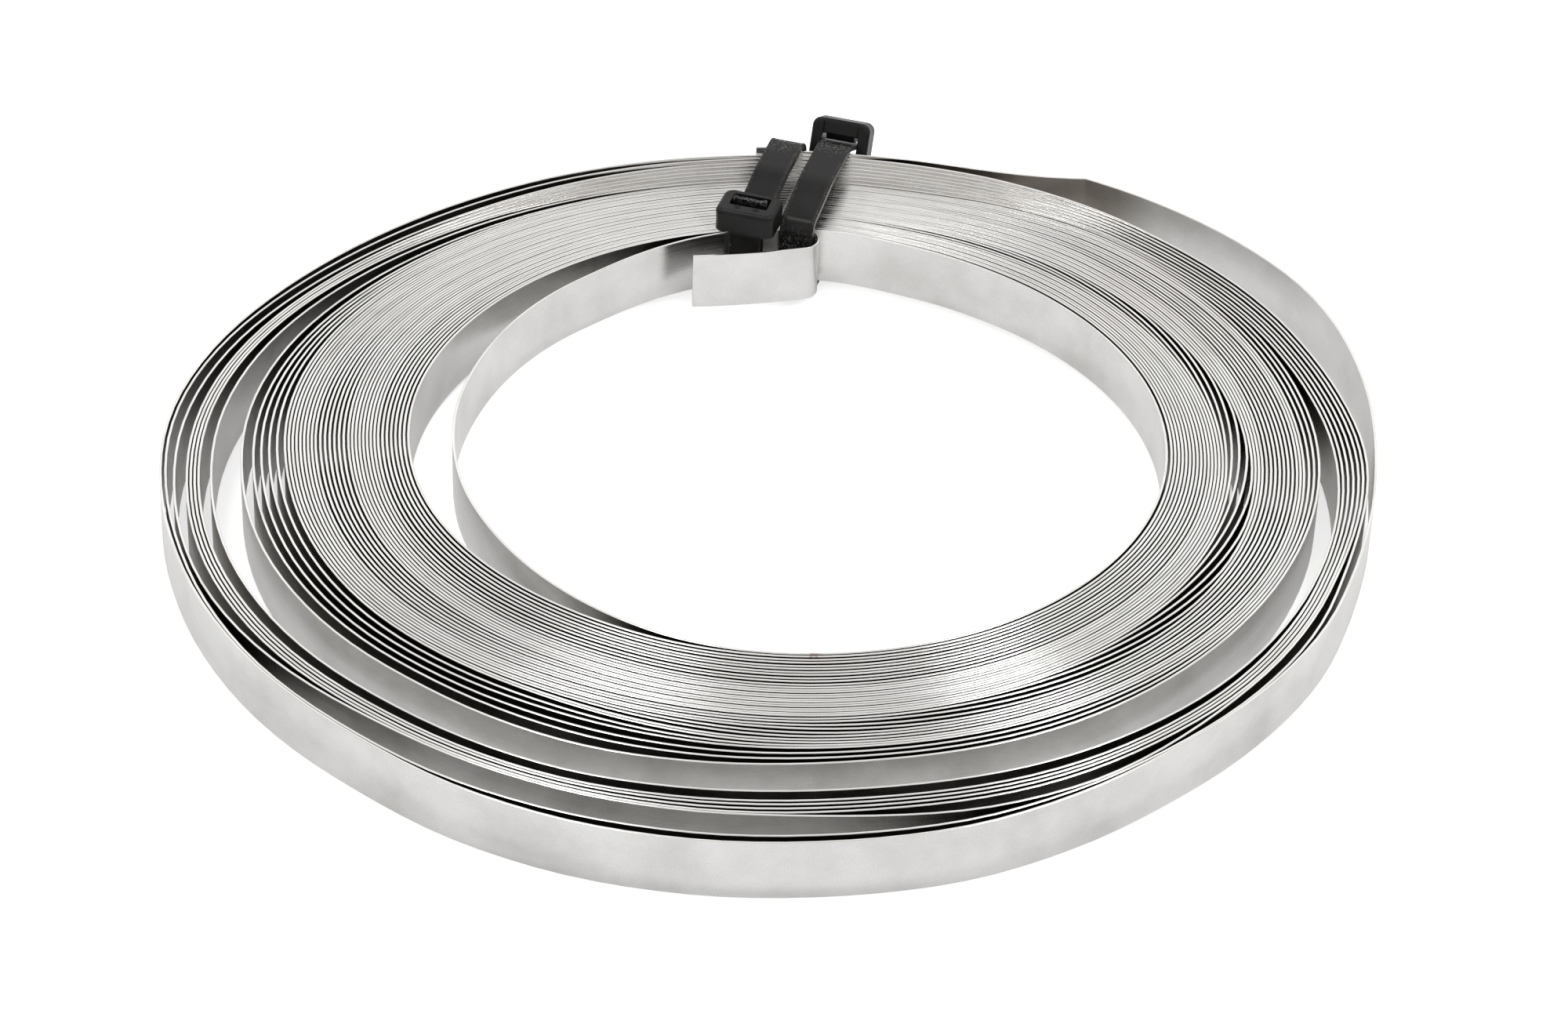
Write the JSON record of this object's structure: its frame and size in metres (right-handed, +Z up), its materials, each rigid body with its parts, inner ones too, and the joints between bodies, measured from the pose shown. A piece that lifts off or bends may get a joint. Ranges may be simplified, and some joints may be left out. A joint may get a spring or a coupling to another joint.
{
  "type": "stainless steel band coil",
  "caption": "Loosely wound coil of narrow stainless steel banding strip, held by black cable ties, ready to be paid off and cut for clamping and strapping.",
  "frame": {"origin": "centre of the coil's bounding box, on the floor that it lies on", "axes": "+Z up out of the coil's flat side, +X to the right as seen from the front, and +Y towards the cable ties at the back"},
  "size_m": [0.2996, 0.2968, 0.0302],
  "materials": {
    "steel_band": "bright rolled strip with fine scratches, slit edges",
    "cable_tie": "black moulded nylon with a satin grain"
  },
  "bodies": {
    "root": {"steel_band": "steel_band", "cable_tie_left": "cable_tie", "cable_tie_right": "cable_tie"}
  },
  "joints": []
}
